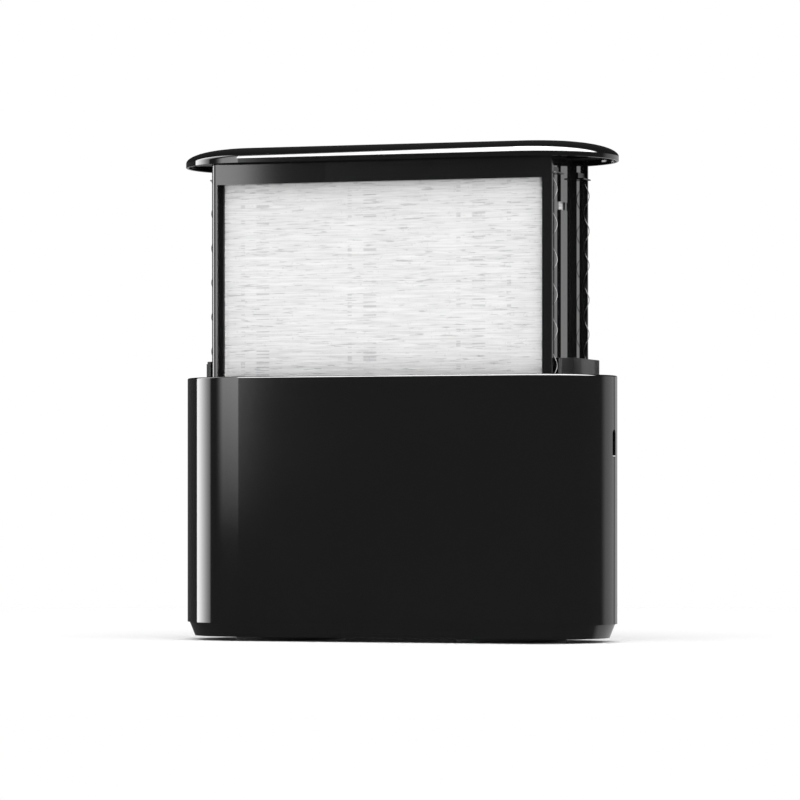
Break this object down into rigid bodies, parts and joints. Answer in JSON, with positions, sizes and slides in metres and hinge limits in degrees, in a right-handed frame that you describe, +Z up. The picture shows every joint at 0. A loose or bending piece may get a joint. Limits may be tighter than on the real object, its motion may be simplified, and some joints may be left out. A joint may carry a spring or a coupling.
{
  "type": "paper towel dispenser",
  "caption": "Counter dispenser for folded paper towels: a tall oval black housing whose lidded inner carriage lifts out for refilling, with a sprung pusher and a key lock.",
  "frame": {"origin": "middle of the underside, on the plane where the rubber feet meet the table", "axes": "+Z up, X along the width with the key slot at +X, front window facing -Y"},
  "size_m": [0.3252, 0.1182, 0.3585],
  "materials": {
    "shell_gloss_black": "polished moulded black",
    "lid_gloss_black": "polished moulded black",
    "frame_satin_black": "satin moulded black",
    "guide_black": "satin moulded black",
    "tray_black": "satin moulded black",
    "pusher_black": "satin moulded black",
    "lever_plastic": "moulded dark grey",
    "foot_rubber": "matt",
    "screw_steel": "zinc plated",
    "spring_steel": "bright drawn",
    "towel_paper": "soft white embossed"
  },
  "bodies": {
    "housing": {"front_shell": "shell_gloss_black", "rear_shell": "shell_gloss_black", "base_tray": "tray_black", "left_foot_pad": "foot_rubber", "right_foot_pad": "foot_rubber", "base_screws": "screw_steel", "left_end_guide": "guide_black", "right_end_guide": "guide_black", "guide_screws": "screw_steel", "latch_pin": "screw_steel"},
    "latch": {"latch_lever": "lever_plastic", "latch_spring": "spring_steel"},
    "carriage": {"lid_cover": "lid_gloss_black", "throat_bezel": "frame_satin_black", "lid_screws": "screw_steel", "top_plate": "frame_satin_black", "top_plate_screws": "screw_steel", "front_frame": "frame_satin_black", "rear_panel": "frame_satin_black", "left_side_panel": "frame_satin_black", "right_side_panel": "frame_satin_black", "carriage_floor": "frame_satin_black", "floor_screws": "screw_steel", "left_front_spring_hanger": "spring_steel", "left_rear_spring_hanger": "spring_steel", "right_front_spring_hanger": "spring_steel", "right_rear_spring_hanger": "spring_steel", "left_front_lift_spring": "spring_steel", "left_rear_lift_spring": "spring_steel", "right_front_lift_spring": "spring_steel", "right_rear_lift_spring": "spring_steel", "towel_stack": "towel_paper"},
    "pusher": {"pusher_plate": "pusher_black", "front_pusher_crossbar": "spring_steel", "rear_pusher_crossbar": "spring_steel"}
  },
  "joints": [
    {"name": "carriage_lift", "type": "slide", "parent": "housing", "child": "carriage", "axis": [0, 0, 1], "range_m": [-0.1495, 0]},
    {"name": "pusher_rise", "type": "slide", "parent": "carriage", "child": "pusher", "axis": [0, 0, 1], "range_m": [0, 0.15], "deforming": ["left_front_lift_spring", "left_rear_lift_spring", "right_front_lift_spring", "right_rear_lift_spring", "towel_stack"]},
    {"name": "latch_turn", "type": "hinge", "parent": "housing", "child": "latch", "pos_m": [0.1285, 0, 0.15], "axis": [0, 1, 0], "range_deg": [-6.8, 6], "stiffness_Nm_per_rad": 0.02}
  ]
}
